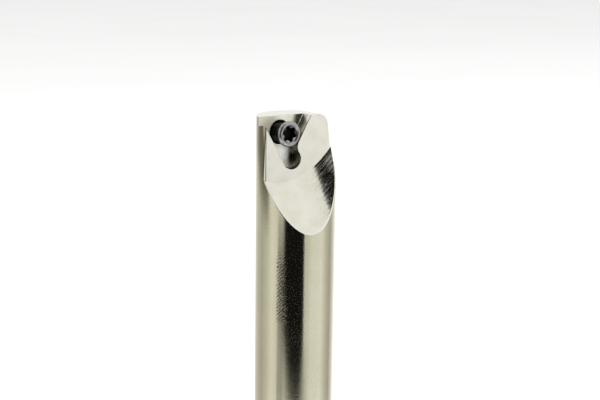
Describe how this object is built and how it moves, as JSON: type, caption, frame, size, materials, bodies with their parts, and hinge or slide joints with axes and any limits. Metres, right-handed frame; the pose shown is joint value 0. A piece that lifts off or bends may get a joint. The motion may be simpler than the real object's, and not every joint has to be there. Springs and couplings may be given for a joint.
{
  "type": "boring bar",
  "caption": "Slender steel boring bar: stepped shank with a clamping flat, round neck, scooped tip with a triangular insert seat and its clamp screw.",
  "frame": {"origin": "centre of the shank's end face, which the bar stands on", "axes": "+Z along the bar towards the tip, -Y the way that the rake flat faces, -X the side of the cutting corner"},
  "size_m": [0.02, 0.02, 0.076],
  "materials": {
    "plated_steel": "satin nickel plating, milled faces brighter",
    "screw_steel": "blackened steel with a worn grey head face"
  },
  "bodies": {
    "bar": {"boring_bar": "plated_steel"},
    "screw": {"insert_screw": "screw_steel"}
  },
  "joints": [
    {"name": "screw_travel", "type": "slide", "parent": "bar", "child": "screw", "axis": [0, -1, 0], "range_m": [-0.0012, 0.0021]}
  ]
}
